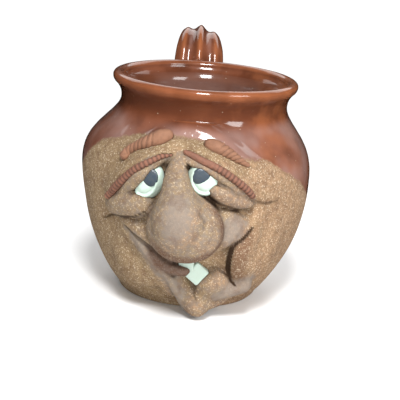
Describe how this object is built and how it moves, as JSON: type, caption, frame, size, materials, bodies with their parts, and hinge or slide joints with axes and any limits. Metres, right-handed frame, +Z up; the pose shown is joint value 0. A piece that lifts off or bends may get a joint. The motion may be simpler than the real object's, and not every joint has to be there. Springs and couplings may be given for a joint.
{
  "type": "face mug",
  "caption": "Round-bellied stoneware mug with a comic grotesque face built up in clay on its front, a rolled rim and a ridged strap handle at the back.",
  "frame": {"origin": "centre of the flat underside, on the table", "axes": "+Z up to the rim; the face looks along -Y; the handle is on the +Y side; +X is the right of someone who looks at the face"},
  "size_m": [0.1079, 0.1619, 0.1179],
  "materials": {
    "mug_body": "bare speckled brown stoneware on the face, glossy rust-brown glaze on top, inside, handle and back",
    "left_eyeball": "pale mint-white clay, satin",
    "right_eyeball": "pale mint-white clay, satin",
    "left_iris": "glossy blue-black",
    "right_iris": "glossy blue-black",
    "tooth": "pale mint-white clay, satin",
    "side_tooth": "pale mint-white clay, satin",
    "left_eyebrow": "matt orange terracotta clay",
    "right_eyebrow": "matt orange terracotta clay",
    "left_lash_strip": "matt dull red clay with cross marks",
    "right_lash_strip": "matt dull red clay with cross marks"
  },
  "bodies": {
    "root": {"mug_body": "mug_body", "left_eyeball": "left_eyeball", "right_eyeball": "right_eyeball", "left_iris": "left_iris", "right_iris": "right_iris", "tooth": "tooth", "side_tooth": "side_tooth", "left_eyebrow": "left_eyebrow", "right_eyebrow": "right_eyebrow", "left_lash_strip": "left_lash_strip", "right_lash_strip": "right_lash_strip"}
  },
  "joints": []
}
